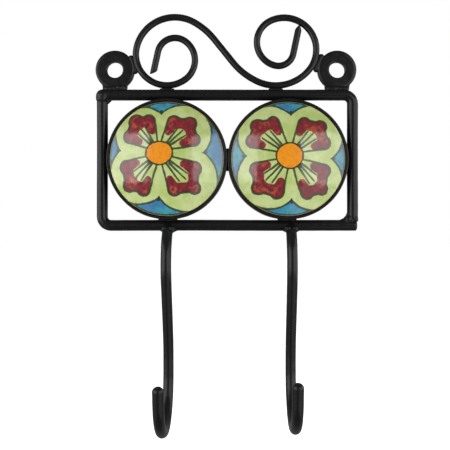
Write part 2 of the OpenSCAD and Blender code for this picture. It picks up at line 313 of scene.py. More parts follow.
def lathe(profile: Profile, centre: Vector, steps: int) -> BMesh:
    """Turns a profile about an axis that points out of the wall.

    Args:
        profile: Points of (radius, distance from the wall), in order, closed if the ends are off the axis.
        centre: A point on the axis.
        steps: Facets round the axis.

    Returns:
        The turned shape, with its poles and its seam closed.
    """
    bm = bmesh.new()
    verts = [bm.verts.new((r, -out, 0)) for r, out in profile]
    edges = [bm.edges.new(pair) for pair in zip(verts, verts[1:])]
    if profile[0][0] > 0:
        edges.append(bm.edges.new((verts[-1], verts[0])))
    bmesh.ops.spin(
        bm, geom=verts + edges, cent=(0, 0, 0), axis=(0, 1, 0), angle=math.tau, steps=steps, use_merge=True
    )
    bmesh.ops.remove_doubles(bm, verts=bm.verts, dist=0.0005)
    bmesh.ops.recalc_face_normals(bm, faces=bm.faces)
    bmesh.ops.translate(bm, verts=bm.verts, vec=(centre.x, 0, centre.z))
    return bm


def rounded(corners: Sequence[Place], cuts: int = 4) -> list[Pair]:
    """Rounds the corners of a profile.

    Args:
        corners: Points of (radius, out, corner radius) in order round a closed profile.
        cuts: Points along each rounded corner.

    Returns:
        The rounded profile.
    """
    points: list[Pair] = []
    for i, (x, y, r) in enumerate(corners):
        here = Vector((x, y))
        if r <= 0:
            points.append((x, y))
            continue
        before = (Vector(corners[i - 1][:2]) - here).normalized() * r
        after = (Vector(corners[(i + 1) % len(corners)][:2]) - here).normalized() * r
        for k in range(cuts + 1):
            t = k / cuts
            spot = here + before * (1 - t) ** 2 + after * t**2
            points.append((spot.x, spot.y))
    return points


def filled(points: Profile, spacing: float) -> list[Pair]:
    """Adds points along the long sides of a closed profile."""
    out: list[Pair] = []
    for a, b in zip(points, list(points[1:]) + [points[0]]):
        count = max(1, int(math.dist(a, b) / spacing))
        out += [(a[0] + (b[0] - a[0]) * k / count, a[1] + (b[1] - a[1]) * k / count) for k in range(count)]
    return out


def washer(
    box: NodeBox, hole_r: float, edges: Sequence[float], cuts: int, spacing: float, steps: int
) -> BMesh:
    """Turns a ring that fills a node's box.

    Args:
        box: The node's box.
        hole_r: Radius of the hole.
        edges: Radius of the hole's back edge, then the rim's back and front, then the hole's front.
        cuts: Points along each rounded edge.
        spacing: Distance between points on the straight sides.
        steps: Facets round the axis.

    Returns:
        The ring.
    """
    rim_r, thick = box.size.x / 2, box.size.y
    spots = ((hole_r, 0), (rim_r, 0), (rim_r, thick), (hole_r, thick))
    corners = [(*spot, edge) for spot, edge in zip(spots, edges)]
    return lathe(filled(rounded(corners, cuts), spacing), box.centre, steps)


@dataclass(frozen=True)
class HandWork:
    """The small unevenness of hand-worked metal: a slow sway and a fine lumpiness."""

    sway: float = 0.09
    sway_length: float = 38.0
    lump: float = 0.03
    lump_length: float = 3.2
    seed: float = 0.0

    def apply(self, bm: BMesh) -> None:
        """Moves every point of a mesh by the two kinds of unevenness."""
        bm.normal_update()
        shift = Vector((self.seed * 7.3, self.seed * 3.1, self.seed * 5.7))
        for v in bm.verts:
            slow = noise.noise_vector(v.co / self.sway_length + shift) * self.sway
            fine = noise.noise(v.co / self.lump_length + shift) * self.lump
            v.co += Vector((slow.x, 0, slow.z)) + v.normal * fine


@dataclass(frozen=True)
class Drop:
    """One drop of weld metal."""

    x: float
    y: float
    z: float
    r: float


def drop_row(start: Place, end: Place, radius: float, count: int, seed: float = 0.0) -> list[Drop]:
    """A run of overlapping drops from one place to another, each a little off the line."""
    drops = []
    for i in range(count):
        t = i / max(1, count - 1)
        spot = Vector(start).lerp(Vector(end), t)
        off = noise.noise_vector(spot * 0.9 + Vector((seed, seed, seed))) * radius * 0.22
        fat = 1 + 0.16 * noise.noise(spot * 1.7 + Vector((seed, 0, seed)))
        drops.append(Drop(spot.x + off.x, spot.y + off.y, spot.z + off.z, radius * fat))
    return drops


def fuse(drops: Iterable[Drop], voxel: float = 0.16, smoothing: int = 12) -> BMesh:
    """Melts drops of weld metal into one closed bead.

    Args:
        drops: The drops.
        voxel: Size of the remeshing grid.
        smoothing: Rounds of smoothing, which turn the creases into ripples.

    Returns:
        The bead as one closed mesh.
    """
    bm = bmesh.new()
    for d in drops:
        matrix = Matrix.Translation((d.x, d.y, d.z))
        bmesh.ops.create_icosphere(bm, subdivisions=3, radius=d.r, matrix=matrix)
    raw = bpy.data.meshes.new("drops")
    bm.to_mesh(raw)
    bm.free()
    holder = bpy.data.objects.new("drops", raw)
    bpy.context.scene.collection.objects.link(holder)
    remesh = holder.modifiers.new("melt", "REMESH")
    remesh.mode = "VOXEL"
    remesh.voxel_size = voxel
    melted = bpy.data.meshes.new_from_object(holder.evaluated_get(bpy.context.evaluated_depsgraph_get()))
    bead = bmesh.new()
    bead.from_mesh(melted)
    bpy.data.objects.remove(holder)
    for mesh in (raw, melted):
        bpy.data.meshes.remove(mesh)
    axes = {f"use_axis_{axis}": True for axis in "xyz"}
    for _ in range(smoothing):
        bmesh.ops.smooth_vert(bead, verts=bead.verts, factor=0.5, **axes)
    for v in bead.verts:
        v.co.y = min(v.co.y, -WALL_GAP)
    return bead


def hand_over(
    name: str,
    bm: BMesh,
    material: Material,
    node: str,
    fields: dict[str, np.ndarray] | None = None,
) -> bpy.types.Object:
    """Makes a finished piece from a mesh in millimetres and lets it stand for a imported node.

    Args:
        name: The piece's name.
        bm: Its shape, in millimetres, which is freed here.
        material: Its finish.
        node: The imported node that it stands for.
        fields: Values to store on its points, each under its name.

    Returns:
        The piece, in its place and riding on its body.
    """
    bmesh.ops.scale(bm, verts=bm.verts, vec=(MM, MM, MM))
    bmesh.ops.recalc_face_normals(bm, faces=bm.faces)
    for face in bm.faces:
        face.smooth = True
    mesh = bpy.data.meshes.new(name)
    bm.to_mesh(mesh)
    bm.free()
    for key, values in (fields or {}).items():
        mesh.attributes.new(key, "FLOAT", "POINT").data.foreach_set("value", values.astype(np.float32))
    mesh.materials.append(material)
    piece = bpy.data.objects.new(name, mesh)
    bpy.context.scene.collection.objects.link(piece)
    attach(piece, BODY)
    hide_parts(node)
    log.info("%s stands for %s: %d faces", name, node, len(mesh.polygons))
    return piece


# ---------------------------------------------------------------- finishes


def srgb(red: int, green: int, blue: int) -> Colour:
    """Turns a colour of 0 to 255 into the linear colour that the shaders take."""

    def linear(value: int) -> float:
        share = value / 255
        return share / 12.92 if share <= 0.04045 else ((share + 0.055) / 1.055) ** 2.4

    return (linear(red), linear(green), linear(blue), 1.0)


class NodeSheet:
    """A node tree, with short calls that add a node and join it up."""

    def __init__(self, tree: NodeTree) -> None:
        """Keeps the tree that the nodes go into."""
        self.tree = tree

    def feed(self, node: Node, inputs: dict) -> None:
        """Sets a node's inputs, by name or number, to values or to other nodes' sockets."""
        for key, value in inputs.items():
            if isinstance(value, NodeSocket):
                self.tree.links.new(value, node.inputs[key])
            else:
                node.inputs[key].default_value = value

    def add(self, kind: str, inputs: dict | None = None, **settings: object) -> Node:
        """Adds a node of a type, with its inputs and its own properties."""
        made = self.tree.nodes.new(kind)
        for key, value in settings.items():
            setattr(made, key, value)
        self.feed(made, inputs or {})
        return made

    def maths(self, operation: str, *values: object) -> NodeSocket:
        """Adds a Math node and returns its result."""
        return self.add("ShaderNodeMath", dict(enumerate(values)), operation=operation).outputs[0]

    def noise(self, vector: object, scale: float, detail: float = 2.0, rough: float = 0.5) -> NodeSocket:
        """Adds a noise and returns its value, from 0 to 1."""
        inputs = {"Vector": vector, "Scale": scale, "Detail": detail, "Roughness": rough}
        return self.add("ShaderNodeTexNoise", inputs).outputs["Fac"]

    def ramp(self, value: object, low: object, high: object, out: Pair = (0.0, 1.0)) -> NodeSocket:
        """Adds a smooth step and returns its value."""
        inputs = {"Value": value, "From Min": low, "From Max": high, "To Min": out[0], "To Max": out[1]}
        return self.add("ShaderNodeMapRange", inputs, interpolation_type="SMOOTHSTEP").outputs["Result"]

    def mix(self, share: object, first: object, second: object) -> NodeSocket:
        """Mixes two colours and returns the result."""
        inputs = {"Factor": share, 6: first, 7: second}
        return self.add("ShaderNodeMix", inputs, data_type="RGBA", clamp_factor=True).outputs[2]

    def bump(self, height: object, distance: float, strength: float = 1.0) -> NodeSocket:
        """Adds a bump and returns its normal."""
        inputs = {"Height": height, "Distance": distance, "Strength": strength}
        return self.add("ShaderNodeBump", inputs).outputs["Normal"]

    def field(self, name: str) -> NodeSocket:
        """Reads a value that is stored on the piece's points."""
        return self.add("ShaderNodeAttribute", attribute_name=name).outputs["Fac"]

    def place(self) -> NodeSocket:
        """Reads the Object coordinates, in metres."""
        return self.add("ShaderNodeTexCoord").outputs["Object"]

    def group(self, tree: NodeTree, inputs: dict) -> dict[str, NodeSocket]:
        """Places a node group and returns its outputs."""
        return self.add("ShaderNodeGroup", inputs, node_tree=tree).outputs


class Socket(Enum):
    """The kinds of socket that the groups use."""

    NUMBER = "NodeSocketFloat"
    VECTOR = "NodeSocketVector"


def new_group(name: str, inputs: dict, outputs: dict) -> tuple[NodeSheet, Node, Node]:
    """Starts a shader node group.

    Args:
        name: The group's name.
        inputs: Its inputs and their kinds.
        outputs: Its outputs and their kinds.

    Returns:
        The group's sheet, its input node and its output node.
    """
    tree = bpy.data.node_groups.new(name, "ShaderNodeTree")
    for key, kind in inputs.items():
        tree.interface.new_socket(name=key, in_out="INPUT", socket_type=kind.value)
    for key, kind in outputs.items():
        tree.interface.new_socket(name=key, in_out="OUTPUT", socket_type=kind.value)
    sheet = NodeSheet(tree)
    return sheet, sheet.add("NodeGroupInput"), sheet.add("NodeGroupOutput")


def paint_skin_group() -> NodeTree:
    """Dipped or brushed paint: fine peel, slow runs and a bloom of dust, the same for all the iron."""
    sheet, given, result = new_group(
        "paint_skin",
        {"Place": Socket.VECTOR, "Peel": Socket.NUMBER, "Runs": Socket.NUMBER, "Bloom": Socket.NUMBER},
        {"Height": Socket.NUMBER, "Bloom": Socket.NUMBER, "Smear": Socket.NUMBER},
    )
    place = given.outputs["Place"]
    peel = sheet.noise(place, 1500.0, 3.0, 0.55)
    runs = sheet.noise(place, 260.0, 2.0, 0.5)
    height = sheet.maths(
        "ADD",
        sheet.maths("MULTIPLY", peel, given.outputs["Peel"]),
        sheet.maths("MULTIPLY", runs, given.outputs["Runs"]),
    )
    cloud = sheet.noise(place, 95.0, 4.0, 0.6)
    grain = sheet.noise(place, 2600.0, 1.0, 0.5)
    dusty = sheet.maths("MULTIPLY", sheet.ramp(cloud, 0.42, 0.7), sheet.ramp(grain, 0.35, 0.75))
    bloom = sheet.maths("MULTIPLY", dusty, given.outputs["Bloom"])
    smear = sheet.noise(place, 420.0, 3.0, 0.6)
    sheet.feed(result, {"Height": height, "Bloom": bloom, "Smear": smear})
    return sheet.tree


def ink_line_group() -> NodeTree:
    """A painted line along the edge of a shape: the share of ink at a distance from that edge."""
    sheet, given, result = new_group(
        "ink_line",
        {"Distance": Socket.NUMBER, "Width": Socket.NUMBER, "Wobble": Socket.NUMBER},
        {"Ink": Socket.NUMBER},
    )
    soft = 0.09
    off = sheet.maths("ABSOLUTE", given.outputs["Distance"])
    width = sheet.maths("ADD", given.outputs["Width"], given.outputs["Wobble"])
    outer, inner = sheet.maths("ADD", width, soft), sheet.maths("SUBTRACT", width, soft)
    sheet.feed(result, {"Ink": sheet.maths("SUBTRACT", 1.0, sheet.ramp(off, inner, outer))})
    return sheet.tree


def new_material(name: str) -> tuple[Material, NodeSheet, Node]:
    """Starts a material and returns it with its sheet and its Principled shader."""
    material = bpy.data.materials.new(name)
    material.use_nodes = True
    sheet = NodeSheet(material.node_tree)
    sheet.tree.nodes.clear()
    shader = sheet.add("ShaderNodeBsdfPrincipled")
    sheet.add("ShaderNodeOutputMaterial", {"Surface": shader.outputs[0]})
    return material, sheet, shader


@dataclass(frozen=True)
class IronPaint:
    """Black paint over iron."""

    name: str
    black: Colour = srgb(12, 12, 12)
    bloom_colour: Colour = srgb(46, 42, 37)
    peel: float = 0.07
    runs: float = 0.8
    bloom: float = 0.1
    relief: float = 0.00004
    smooth: float = 0.17
    dull: float = 0.27

    def material(self, skin: NodeTree) -> Material:
        """Builds the material around the paint_skin group."""
        material, sheet, shader = new_material(self.name)
        amounts = {"Peel": self.peel, "Runs": self.runs, "Bloom": self.bloom}
        coat = sheet.group(skin, {"Place": sheet.place(), **amounts})
        sheet.feed(shader, {
            "Base Color": sheet.mix(coat["Bloom"], self.black, self.bloom_colour),
            "Roughness": sheet.ramp(coat["Smear"], 0.3, 0.7, (self.smooth, self.dull)),
            "Normal": sheet.bump(coat["Height"], self.relief),
            "IOR": 1.5,
        })
        return material


@dataclass(frozen=True)
class SetGlue:
    """The bed of set glue under a disc."""

    name: str = "set_glue"
    pale: Colour = srgb(216, 208, 184)
    deep: Colour = srgb(178, 162, 128)

    def material(self) -> Material:
        """Builds the material."""
        material, sheet, shader = new_material(self.name)
        cloud = sheet.noise(sheet.place(), 300.0, 4.0)
        sheet.feed(shader, {
            "Base Color": sheet.mix(cloud, self.deep, self.pale),
            "Roughness": sheet.ramp(cloud, 0.3, 0.7, (0.35, 0.6)),
            "Normal": sheet.bump(cloud, 0.0003, 0.6),
        })
        return material


@dataclass(frozen=True)
class PaintedGlaze:
    """A flower painted under a clear gloss glaze, laid out by the distances stored on the disc."""

    name: str
    seed: float
    ground: Colour = srgb(188, 208, 118)
    ground_pale: Colour = srgb(208, 222, 150)
    ground_deep: Colour = srgb(166, 192, 88)
    ink: Colour = srgb(16, 34, 14)
    # painted shade: a dark warm colour for the crease where the disc meets its band
    crease_shade_warm: Colour = srgb(52, 26, 20)
    red: Colour = srgb(132, 32, 38)
    maroon: Colour = srgb(98, 22, 32)
    rust: Colour = srgb(176, 78, 50)
    orange: Colour = srgb(252, 158, 16)
    orange_deep: Colour = srgb(240, 132, 12)
    turquoise: Colour = srgb(62, 158, 172)
    blue: Colour = srgb(58, 124, 172)
    teal: Colour = srgb(36, 112, 132)
    beige: Colour = srgb(176, 158, 108)

    def material(self, line: NodeTree) -> Material:
        """Builds the material around the ink_line group, from the ground up to the rim."""
        material, sheet, shader = new_material(self.name)
        shift = (self.seed, self.seed * 0.4, 0)
        place = sheet.add("ShaderNodeMapping", {"Vector": sheet.place(), "Location": shift}).outputs[0]
        slow = sheet.noise(place, 170.0, 3.0)
        brush = sheet.noise(place, 620.0, 4.0, 0.6)
        fine = sheet.noise(place, 1700.0, 2.0)
        edge = sheet.maths("MULTIPLY", sheet.maths("SUBTRACT", fine, 0.5), 0.34)
        press = sheet.maths("MULTIPLY", sheet.maths("SUBTRACT", brush, 0.5), 0.5)

        def ragged(name: str, share: float) -> NodeSocket:
            """A stored distance whose edge wavers by a share of the fine noise."""
            return sheet.maths("ADD", sheet.field(name), sheet.maths("MULTIPLY", edge, share))

        colour = sheet.mix(sheet.ramp(slow, 0.35, 0.65), self.ground, self.ground_pale)
        colour = sheet.mix(sheet.ramp(brush, 0.5, 0.78, (0.0, 0.45)), colour, self.ground_deep)

        wash = sheet.mix(sheet.ramp(slow, 0.36, 0.62), self.turquoise, self.blue)
        wash = sheet.mix(sheet.ramp(brush, 0.45, 0.72, (0.0, 0.7)), wash, self.teal)
        colour = sheet.mix(sheet.ramp(ragged("dart", 1.0), 0.1, -0.1), colour, wash)

        paint = sheet.mix(sheet.ramp(brush, 0.40, 0.60), self.maroon, self.red)
        warm = sheet.maths("MULTIPLY", sheet.ramp(slow, 0.50, 0.62), sheet.ramp(brush, 0.40, 0.62))
        paint = sheet.mix(warm, paint, self.rust)
        paint = sheet.mix(sheet.ramp(sheet.field("petal"), -1.3, -0.3, (0.0, 0.6)), paint, self.maroon)
        colour = sheet.mix(sheet.ramp(ragged("blush", 2.0), 0.14, -0.14), colour, paint)

        def outline(name: str, width: float) -> NodeSocket:
            """The ink along the edge of a painted shape."""
            inputs = {"Distance": sheet.field(name), "Width": width, "Wobble": press}
            return sheet.group(line, inputs)["Ink"]

        veins = sheet.ramp(sheet.maths("ADD", sheet.field("vein"), press), 0.1, -0.1)
        for share in (outline("dart", 0.44), outline("petal", 0.45), veins):
            colour = sheet.mix(sheet.maths("MULTIPLY", share, 0.93), colour, self.ink)

        yolk = sheet.mix(sheet.ramp(brush, 0.45, 0.75), self.orange, self.orange_deep)
        colour = sheet.mix(sheet.ramp(ragged("eye", 0.6), 0.1, -0.1), colour, yolk)
        colour = sheet.mix(sheet.maths("MULTIPLY", outline("eye", 0.36), 0.95), colour, self.ink)

        rim = sheet.field("rim")
        colour = sheet.mix(sheet.ramp(rim, -0.42, -0.2, (0.0, 0.65)), colour, self.beige)
        # painted shade: the outermost edge of the disc, in the crease against its band, is coloured dark
        colour = sheet.mix(sheet.ramp(rim, -0.12, 0.0), colour, self.crease_shade_warm)

        pits = sheet.ramp(sheet.noise(place, 3100.0, 1.0), 0.72, 0.8)
        height = sheet.maths("SUBTRACT", slow, sheet.maths("MULTIPLY", pits, 0.25))
        sheet.feed(shader, {
            "Base Color": colour,
            "Roughness": sheet.ramp(brush, 0.3, 0.7, (0.1, 0.15)),
            "Normal": sheet.bump(height, 0.00012),
            "IOR": 1.7,
            "Coat Weight": 1.0,
            "Coat IOR": 1.65,
            "Coat Roughness": 0.11,
        })
        return material


@dataclass(frozen=True)
class Finishes:
    """Every finish of the plate, built once."""

    rod: Material
    weld: Material
    strip: Material
    sheet: Material
    glue: Material
    glaze: dict[Side, Material]

    @classmethod
    def build(cls) -> "Finishes":
        """Builds the node groups and the materials that use them."""
        skin, line = paint_skin_group(), ink_line_group()
        rusty = srgb(70, 44, 32)
        paints = {
            "rod": IronPaint("satin_black_rod"),
            "weld": IronPaint("black_over_weld", smooth=0.24, dull=0.36, runs=1.1, relief=0.00005),
            "strip": IronPaint("satin_black_strip", bloom_colour=rusty, bloom=0.25),
            "sheet": IronPaint("black_back_sheet", smooth=0.42, dull=0.6, bloom=1.0, relief=0.0001),
        }
        glazes = {Side.LEFT: PaintedGlaze("glaze_left", 0.31), Side.RIGHT: PaintedGlaze("glaze_right", 0.77)}
        return cls(
            **{key: paint.material(skin) for key, paint in paints.items()},
            glue=SetGlue().material(),
            glaze={side: glaze.material(line) for side, glaze in glazes.items()},
        )


# ---------------------------------------------------------------- sub-assemblies


@dataclass(frozen=True)
class RodFrame:
    """The frame: two rods, each bent into an L, that meet at two welded corners."""

    places: FramePlaces
    corner_r: float = 3.9
    corner_gap: float = 0.2
    rail_end_inset: float = 0.6
    chamfer: float = 0.6
    sides: int = 40
    spacing: float = 0.9

    def build(self, finishes: Finishes) -> None:
        """Makes the top rail with the right upright, and the left upright with the bottom rail."""
        p = self.places
        width, height = p.right_x - p.left_x, p.top_z - p.bottom_z
        down = height - self.corner_r - p.rod_d / 2 - self.corner_gap
        along = width - self.corner_r + p.rod_d / 2 - self.rail_end_inset - self.chamfer
        upper = [Straight(width - self.corner_r), Bend(self.corner_r, -90), Straight(down - self.chamfer)]
        lower = [Straight(down), Bend(self.corner_r, 90), Straight(along)]
        seam_z = p.top_z - p.rod_d / 2 - self.corner_gap
        self._make("upper", (p.left_x, p.top_z, 0), upper, finishes, 1.0)
        self._make("lower", (p.left_x, seam_z, -90), lower, finishes, 2.0)

    def _make(self, name: str, start: Start, steps: Sequence[Step], finishes: Finishes, seed: float) -> None:
        """Draws a rod, stands it up, works it by hand and hands it over."""
        wire = WireSweep(start, self.places.rod_d, self.sides, self.spacing)
        wire.follow(steps)
        wire.finish(End.CUT, self.chamfer)
        stand_up(wire.bm, self.places.rod_d / 2)
        HandWork(seed=seed).apply(wire.bm)
        hand_over(f"{name}_rod", wire.bm, finishes.rod, f"frame_rod_{name}")


@dataclass(frozen=True)
class ScrollWire:
    """The scroll: one wire drawn from its middle to the end of each curl."""

    places: FramePlaces
    wire_d: float = 3.0
    heading: float = 129.0
    sides: int = 28
    spacing: float = 0.7
    snip: float = 1.1
    snip_angle: float = 36.0
    snip_rings: int = 6
    left_curl: tuple[Step, ...] = (
        Straight(7.9), Bend(31.5, 22), Bend(17.8, 103), Bend(14.1, 142),
        Bend(10.7, 108), Bend(7.9, 114), Straight(10.6),
    )
    right_curl: tuple[Step, ...] = (
        Straight(5.5), Bend(31.1, 27), Bend(19.6, 72), Bend(14.5, 157),
        Bend(10.8, 140), Bend(6.8, 93), Straight(10.8),
    )

    def build(self, finishes: Finishes) -> None:
        """Draws the whole wire from the tip of one curl to the tip of the other."""
        back = reversed(self.left_curl)
        inwards = [step if isinstance(step, Straight) else Bend(step.radius, -step.turn) for step in back]
        start = self._start(inwards)
        wire = WireSweep(start, self.wire_d, self.sides, self.spacing)
        wire.follow([*inwards, *self.right_curl])
        wire.finish(End.PINCHED)
        self._snip(wire.bm, start)
        self._fit(wire.bm)
        HandWork(sway=0.12, seed=3.0).apply(wire.bm)
        hand_over("scroll_wire", wire.bm, finishes.rod, "scroll")

    def _snip(self, bm: BMesh, start: Start) -> None:
        """Cuts the left tail off at a slant."""
        tip = Vector((start[0], start[1], 0))
        way = Matrix.Rotation(math.radians(start[2]), 3, "Z") @ Vector((1, 0, 0))
        slant = Matrix.Rotation(math.radians(self.snip_angle), 3, "Z") @ way
        near = set(list(bm.verts)[: self.sides * self.snip_rings])
        parts = [part for kind in (bm.edges, bm.faces) for part in kind if near.issuperset(part.verts)]
        bmesh.ops.bisect_plane(
            bm, geom=[*near, *parts], plane_co=tip + way * self.snip, plane_no=slant, clear_inner=True
        )
        bmesh.ops.holes_fill(bm, edges=bm.edges)

    def _start(self, inwards: Sequence[Step]) -> Start:
        """Place and heading of the left tip that bring the middle to the origin at its own heading."""
        trial = WireSweep((0.0, 0.0, 0.0), self.wire_d, self.sides, self.spacing)
        trial.follow(inwards)
        trial.bm.free()
        turn = self.heading + 180 - math.degrees(trial.heading)
        spun = Matrix.Rotation(math.radians(turn), 3, "Z") @ trial.at
        return (-spun.x, -spun.y, turn)

    def _fit(self, bm: BMesh) -> None:
        """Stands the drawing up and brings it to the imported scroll's box."""
        stand_up(bm, self.places.rod_d / 2)
        box = NodeBox.of("scroll")
        low_x, high_x = min(v.co.x for v in bm.verts), max(v.co.x for v in bm.verts)
        share = box.size.x / (high_x - low_x)
        bmesh.ops.scale(bm, verts=bm.verts, vec=(share, 1, share))
        low_z = min(v.co.z for v in bm.verts)
        shift = (box.centre.x - (low_x + high_x) / 2 * share, 0, box.low.z - low_z)
        bmesh.ops.translate(bm, verts=bm.verts, vec=shift)


@dataclass(frozen=True)
class ScrewLugs:
    """The two lugs, each a thick washer with rounded edges."""

    hole_d: float = 7.2
    edges: tuple[float, ...] = (0.4, 0.5, 1.1, 0.6)

    def build(self, finishes: Finishes) -> None:
        """Makes both lugs."""
        for side in Side:
            node = f"lug_{side.value}"
            bm = washer(NodeBox.of(node), self.hole_d / 2, self.edges, 5, 0.7, 112)
            HandWork(sway=0.05, lump=0.05, lump_length=4.0, seed=4.0 + side.sign).apply(bm)
            hand_over(f"screw_{node}", bm, finishes.rod, node)


@dataclass(frozen=True)
class DiscSettings:
    """A band of strip iron round each disc, closed behind by a thin plate."""

    wall: float = 1.2
    edges: tuple[float, ...] = (0.2, 0.3, 0.4, 0.35)
    plate_rings: int = 24
    plate_dish: float = 0.25
    plate_roll: float = 0.2

    def build(self, finishes: Finishes) -> None:
        """Makes the bands and the plates, and dresses the glue."""
        for side in Side:
            self._band(side, finishes)
            self._plate(side, finishes)
            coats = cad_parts[f"adhesive_{side.value}"].data.materials
            coats.clear()
            coats.append(finishes.glue)

    def _band(self, side: Side, finishes: Finishes) -> None:
        """Makes one band."""
        node = f"ring_{side.value}"
        box = NodeBox.of(node)
        bm = washer(box, box.size.x / 2 - self.wall, self.edges, 4, 0.9, 224)
        HandWork(sway=0.05, sway_length=18, lump=0.035, lump_length=4.5, seed=6.0 + side.sign).apply(bm)
        hand_over(f"disc_band_{side.value}", bm, finishes.strip, node)

    def _plate(self, side: Side, finishes: Finishes) -> None:
        """Makes one back plate, a little dished and with a rolled edge."""
        node = f"back_plate_{side.value}"
        box = NodeBox.of(node)
        radius, near, far = box.size.x / 2, -box.high.y, -box.low.y
        shares = [k / self.plate_rings for k in range(self.plate_rings)]
        back = [(radius * t, near + self.plate_dish * math.cos(math.pi / 2 * t) ** 2) for t in shares]
        roll = [(radius, near + 0.15), (radius, far - self.plate_roll / 2), (radius - self.plate_roll, far)]
        bm = lathe([*back, *roll, (0, far)], box.centre, 96)
        HandWork(sway=0.0, lump=0.05, lump_length=7.0, seed=9.0 + side.sign).apply(bm)
        hand_over(f"back_sheet_{side.value}", bm, finishes.sheet, node)


@dataclass(frozen=True)
class Spot:
    """A round spot on a disc: to the right of and above its middle, and a radius."""

    u: float
    v: float
    r: float
    def towards(self, other: "Spot", distance: float, share: float) -> "Spot":
        """A spot moved a distance towards another, with a share of its own radius."""
        way = Vector((other.u - self.u, other.v - self.v)).normalized() * distance
        return Spot(self.u + way.x, self.v + way.y, self.r * share)


@dataclass(frozen=True)
class Petal:
    """A petal: a root beside the eye, a palm, three lobes and how far the middle one is drawn out."""

    root: Spot
    palm: Spot
    lobes: tuple[Spot, Spot, Spot]
    tip: float = 0.0

    @classmethod
    def painted(cls, root: Pair, palm: Pair, lobes: Sequence[Place], tip: float = 0.0) -> "Petal":
        """A petal with the usual root and palm, and lobes of (u, v, radius)."""
        root_r, palm_r = 1.5, 3.6
        return cls(Spot(*root, root_r), Spot(*palm, palm_r), tuple(Spot(*lobe) for lobe in lobes), tip)
@dataclass(frozen=True)
class Flower:
    """One painted flower: its eye, petals and the points and curves of the ground round them."""

    eye: Spot
    eye_width: float
    petals: tuple[Petal, ...]
    points: tuple[Pair, ...]
    swell: tuple[float, ...]


def capsule(at: np.ndarray, a: Spot, b: Spot) -> np.ndarray:
    """Distance from each point to a stroke that runs from spot a to spot b, negative inside."""
    start, way = np.array((a.u, a.v)), np.array((b.u - a.u, b.v - a.v))
    along = np.clip((at - start) @ way / max(float(way @ way), 1e-9), 0, 1)
    nearest = start + along[:, None] * way
    return np.linalg.norm(at - nearest, axis=1) - (a.r + (b.r - a.r) * along)


def melt(first: np.ndarray, second: np.ndarray, blend: float = 0.5) -> np.ndarray:
    """The union of two shapes, with the corner between them filled."""
    share = np.clip(0.5 + 0.5 * (second - first) / blend, 0, 1)
    return second + (first - second) * share - blend * share * (1 - share)


FLOWERS = {
    Side.LEFT: Flower(
        eye=Spot(-2.8, 2.1, 5.1),
        eye_width=5.8,
        petals=(
            Petal.painted((-4.6, 4.6), (-10.5, 11.4), ((-7.6, 16.3, 2.7), (-13.3, 16, 3), (-15.8, 9.3, 2.7))),
            Petal.painted((-1, 4.6), (4.8, 10.2), ((3.4, 15.5, 2.8), (10.4, 15, 2.7), (11.9, 8, 2.8)), 0.3),
            Petal.painted(
                (-0.6, -0.3), (5.7, -5.7), ((12.3, -4.6, 2.9), (12.3, -12.9, 2.6), (3.6, -13.7, 2.7)), 0.3
            ),
            Petal.painted(
                (-4.7, -0.3), (-11.5, -6.5), ((-17.3, -4, 2.8), (-16, -11.6, 2.8), (-9.7, -13.8, 2.7)), 0.25
            ),
        ),
        points=((-2.1, 19.6), (16.3, 2.4), (-3.1, -17.0), (-20.5, 3.4)),
        swell=(0.2, 2.8, -0.2, -1.6),
    ),
    Side.RIGHT: Flower(
        eye=Spot(0.1, 0.8, 5.6),
        eye_width=5.9,
        petals=(
            Petal.painted((-2, 3.4), (-7.7, 9.8), ((-6.8, 15.5, 2.7), (-13.5, 13.9, 3), (-15.8, 7.4, 2.7))),
            Petal.painted((2, 3.4), (7.7, 9.3), ((6.6, 15, 2.7), (13.6, 13.6, 2.9), (15.3, 6.6, 2.7))),
            Petal.painted(
                (2.2, -1.8), (8.6, -6.6), ((15, -5.6, 2.9), (14.5, -13.4, 2.5), (7.9, -15, 2.7)), 0.25
            ),
            Petal.painted(
                (-2, -1.8), (-8.2, -7), ((-14.1, -4.9, 2.9), (-13.3, -12.9, 2.8), (-5.2, -14.6, 2.9)), 0.25
            ),
        ),
        points=((0.9, 19.1), (18.8, -0.1), (1.3, -18.1), (-19.0, 0.8)),
        swell=(1.4, 1.4, -0.4, -0.4),
    ),
}


